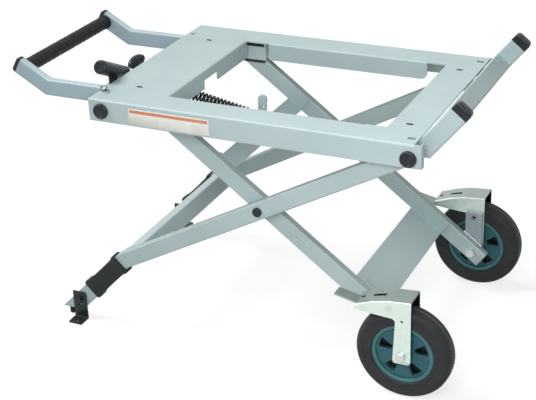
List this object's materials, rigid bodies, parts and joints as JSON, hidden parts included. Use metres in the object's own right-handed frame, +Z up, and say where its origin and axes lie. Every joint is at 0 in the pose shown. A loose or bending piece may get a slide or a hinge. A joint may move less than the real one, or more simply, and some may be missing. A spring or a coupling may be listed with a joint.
{
  "type": "table saw stand",
  "caption": "Folding scissor stand for a bench saw, with a cut-out steel deck, side handle, braked wheels and adjustable feet.",
  "frame": {"origin": "on the floor under the middle of the outer box", "axes": "+X along the stand towards the wheels, +Y across it, +Z up"},
  "size_m": [1.043, 0.574, 0.6311],
  "materials": {
    "painted_steel": "satin silver-grey paint on steel",
    "black_plastic": "moulded black plastic",
    "grip_rubber": "ribbed black rubber",
    "black_rubber": "matte black rubber",
    "black_steel": "black coated steel",
    "tyre_rubber": "dark grey solid tyre",
    "rim_plastic": "teal moulded plastic",
    "zinc_steel": "bright zinc plate",
    "fork_sheet": "zinc plated pressed sheet",
    "bare_label": "plain pale label with one coloured strip"
  },
  "bodies": {
    "frame": {"top_plate": "painted_steel", "rail_near": "painted_steel", "rail_far": "painted_steel", "rail_bolts": "zinc_steel", "handle_arm_near": "painted_steel", "handle_arm_far": "painted_steel", "handle_bar": "zinc_steel", "handle_grip": "grip_rubber", "handle_end_caps": "black_plastic", "spring_anchor": "painted_steel", "skirt_caps": "black_plastic", "top_pivot_bolts": "zinc_steel", "top_pivot_spacers": "zinc_steel", "end_foot_near": "painted_steel", "end_foot_far": "painted_steel", "end_foot_cross_tube": "painted_steel", "end_foot_caps": "black_plastic", "bare_label": "bare_label", "lever_bracket": "painted_steel", "lever_bushing": "black_plastic", "paddle_bracket": "painted_steel", "paddle_pin": "zinc_steel", "corner_stud": "zinc_steel"},
    "outer_legs": {"outer_leg_near": "painted_steel", "outer_leg_far": "painted_steel", "lower_cross_beam": "painted_steel", "leg_sleeve_near": "black_rubber", "leg_sleeve_far": "black_rubber", "leg_tips": "black_rubber", "foot_bolts": "black_steel", "centre_pivot_bolts": "zinc_steel", "centre_pivot_caps": "black_plastic", "centre_washers": "zinc_steel"},
    "inner_legs": {"inner_leg_near": "painted_steel", "inner_leg_far": "painted_steel", "upper_channel": "painted_steel", "hook_bracket": "painted_steel", "lower_cross_plate": "painted_steel", "slider_pins": "zinc_steel", "fork_near": "fork_sheet", "fork_far": "fork_sheet", "fork_posts": "painted_steel", "axle_bolts": "zinc_steel", "axle_washers": "zinc_steel", "pedal_pins": "zinc_steel"},
    "wheel_near": {"tyre_near": "tyre_rubber", "rim_near": "rim_plastic"},
    "wheel_far": {"tyre_far": "tyre_rubber", "rim_far": "rim_plastic"},
    "shoe_near": {"slider_shoe_near": "black_plastic"},
    "shoe_far": {"slider_shoe_far": "black_plastic"},
    "pedal_near": {"brake_pedal_near": "fork_sheet"},
    "pedal_far": {"brake_pedal_far": "fork_sheet"},
    "release_handle": {"release_stem": "black_steel", "release_grip": "black_plastic"},
    "paddle": {"lock_paddle": "black_plastic"},
    "foot_near": {"foot_bracket_near": "black_steel"},
    "foot_far": {"foot_bracket_far": "black_steel"},
    "spring": {"scissor_spring": "black_steel"}
  },
  "joints": [
    {"name": "fold", "type": "hinge", "parent": "frame", "child": "outer_legs", "pos_m": [0.41516, 0, 0.524], "axis": [0, 1, 0], "range_deg": [0, 16.2]},
    {"name": "inner_legs_turn", "type": "hinge", "parent": "outer_legs", "child": "inner_legs", "pos_m": [0.08714, 0, 0.34812], "axis": [0, 1, 0], "range_deg": [-37.95, 0]},
    {"name": "shoe_turn_near", "type": "hinge", "parent": "inner_legs", "child": "shoe_near", "pos_m": [-0.14507, -0.193, 0.524], "axis": [0, 1, 0], "range_deg": [0, 21.75]},
    {"name": "shoe_turn_far", "type": "hinge", "parent": "inner_legs", "child": "shoe_far", "pos_m": [-0.14507, 0.193, 0.524], "axis": [0, 1, 0], "range_deg": [0, 21.75]},
    {"name": "wheel_spin_near", "type": "hinge", "parent": "inner_legs", "child": "wheel_near", "pos_m": [0.41273, -0.2515, 0.1015], "axis": [0, 1, 0], "continuous": true},
    {"name": "wheel_spin_far", "type": "hinge", "parent": "inner_legs", "child": "wheel_far", "pos_m": [0.41273, 0.2515, 0.1015], "axis": [0, 1, 0], "continuous": true},
    {"name": "pedal_press_near", "type": "hinge", "parent": "inner_legs", "child": "pedal_near", "pos_m": [0.38523, -0.2515, 0.2085], "axis": [0, -1, 0], "range_deg": [0, 11]},
    {"name": "pedal_press_far", "type": "hinge", "parent": "inner_legs", "child": "pedal_far", "pos_m": [0.38523, 0.2515, 0.2085], "axis": [0, -1, 0], "range_deg": [0, 11]},
    {"name": "release_pull", "type": "slide", "parent": "frame", "child": "release_handle", "axis": [0, 0, 1], "range_m": [0, 0.012], "stiffness_N_per_m": 400, "springref_m": -0.01},
    {"name": "paddle_tip", "type": "hinge", "parent": "frame", "child": "paddle", "pos_m": [-0.30184, -0.016, 0.517], "axis": [0, -1, 0], "range_deg": [0, 35]},
    {"name": "foot_adjust_near", "type": "slide", "parent": "outer_legs", "child": "foot_near", "axis": [0, 0, 1], "range_m": [0, 0.012]},
    {"name": "foot_adjust_far", "type": "slide", "parent": "outer_legs", "child": "foot_far", "axis": [0, 0, 1], "range_m": [0, 0.012]},
    {"name": "spring_swing", "type": "hinge", "parent": "frame", "child": "spring", "pos_m": [-0.25484, 0, 0.4945], "axis": [0, 1, 0], "range_deg": [-12.81, 0], "deforming": ["scissor_spring"]}
  ],
  "couplings": [
    {"joint": "inner_legs_turn", "follows": "fold", "ratio": -2.3417},
    {"joint": "shoe_turn_near", "follows": "fold", "ratio": 1.3417},
    {"joint": "shoe_turn_far", "follows": "fold", "ratio": 1.3417},
    {"joint": "spring_swing", "follows": "fold", "ratio": -0.79037}
  ]
}
